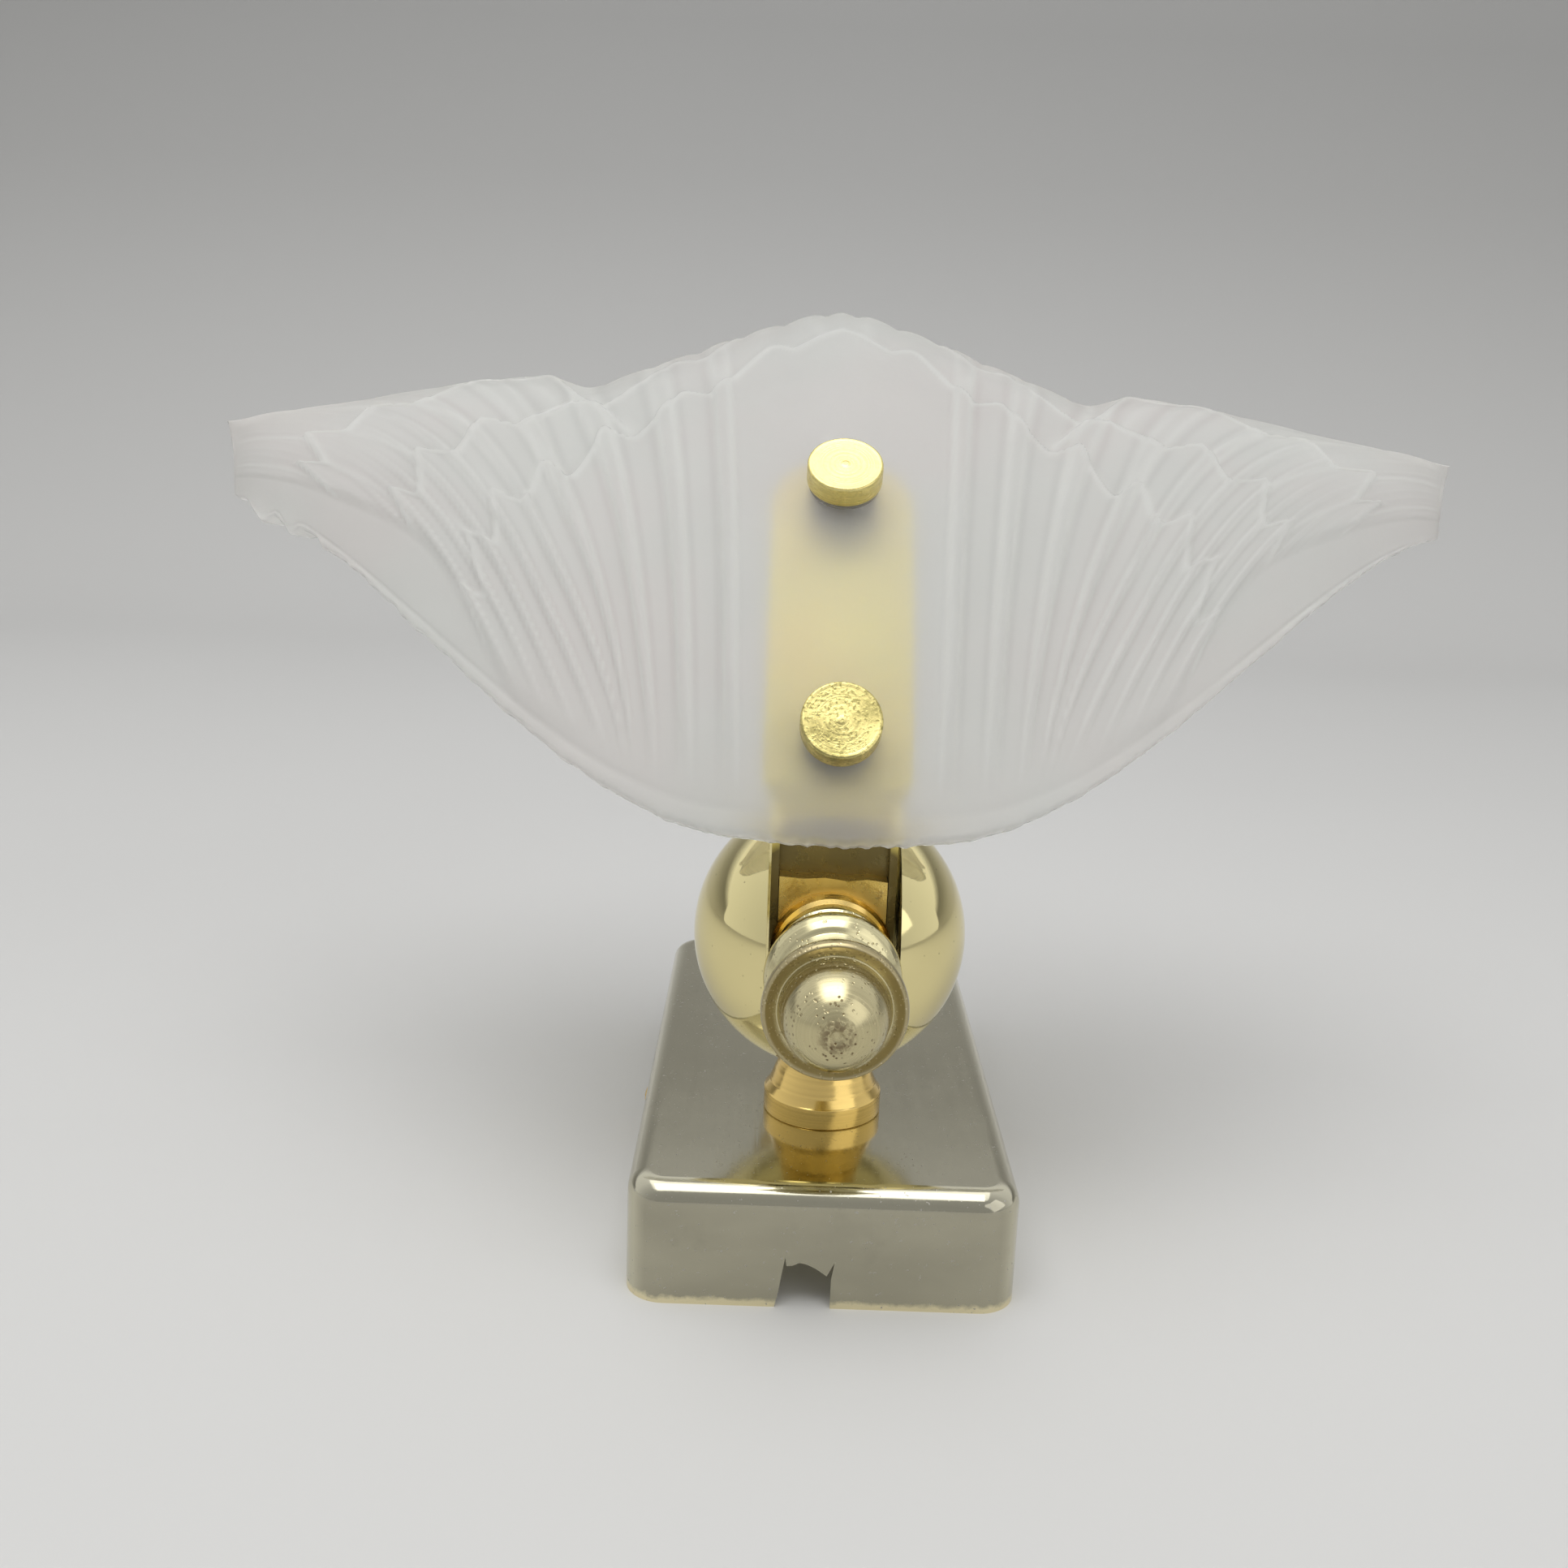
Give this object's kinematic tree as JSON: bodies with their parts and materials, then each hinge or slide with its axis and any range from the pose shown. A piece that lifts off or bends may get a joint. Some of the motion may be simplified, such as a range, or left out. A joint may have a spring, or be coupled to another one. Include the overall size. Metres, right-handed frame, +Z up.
{
  "type": "wall light",
  "caption": "Uplighter wall light with a pressed brass pan, a ball on a turning collar, a finial and a fan-shaped frosted glass shade held by thumbscrews.",
  "frame": {"origin": "middle of the pan's open back, on the wall plane, midway between the two wall screw slots", "axes": "+Z up the wall, +Y into the wall, +X to the right of a person facing the wall"},
  "size_m": [0.247, 0.1628, 0.1375],
  "materials": {
    "satin_brass": "rubbed bright plated brass",
    "gold_brass": "polished",
    "raw_brass": "machined",
    "polished_brass": "mirror polished",
    "bracket_brass": "plated",
    "aged_brass": "polished, pitted",
    "screw_brass": "turned",
    "zinc_steel": "zinc plated",
    "terminal_plastic": "moulded",
    "holder_white": "moulded insulator",
    "frosted_glass": "acid frosted",
    "pad_rubber": "soft",
    "clear_plastic": "clear washer"
  },
  "bodies": {
    "base": {"back_plate": "satin_brass", "mounting_bar": "zinc_steel", "side_screws": "gold_brass", "terminal_block": "terminal_plastic", "terminal_screws": "zinc_steel", "block_screw": "zinc_steel", "earth_screw": "gold_brass", "stop_stud": "satin_brass"},
    "head": {"collar": "gold_brass", "ball_nipple": "raw_brass", "spring_washer": "zinc_steel", "stop_washer": "zinc_steel", "lock_nuts": "raw_brass", "ball": "polished_brass", "centre_tube": "raw_brass", "shade_bracket": "bracket_brass", "clamp_plate": "bracket_brass", "finial_washer": "gold_brass", "seat_nut": "raw_brass", "holder_cup": "raw_brass", "holder_body": "holder_white", "screw_shell": "raw_brass", "centre_contact": "raw_brass", "glass_shade": "frosted_glass", "shade_pads": "pad_rubber", "shade_washers": "clear_plastic"},
    "finial": {"finial": "aged_brass"},
    "lower_thumbscrew": {"thumbscrew_lower": "screw_brass"},
    "upper_thumbscrew": {"thumbscrew_upper": "screw_brass"}
  },
  "joints": [
    {"name": "head_swivel", "type": "hinge", "parent": "base", "child": "head", "pos_m": [0, -0.021, -0.0286], "axis": [0, -1, 0], "range_deg": [-155, 155]},
    {"name": "finial_turn", "type": "hinge", "parent": "head", "child": "finial", "pos_m": [0, -0.0543, -0.06], "axis": [0, 0, 1], "continuous": true},
    {"name": "lower_thumbscrew_turn", "type": "hinge", "parent": "head", "child": "lower_thumbscrew", "pos_m": [0, -0.09227, -0.03725], "axis": [0, -0.5348, -0.845], "continuous": true},
    {"name": "upper_thumbscrew_turn", "type": "hinge", "parent": "head", "child": "upper_thumbscrew", "pos_m": [0, -0.13046, -0.00413], "axis": [0, -0.7654, -0.6436], "continuous": true}
  ]
}
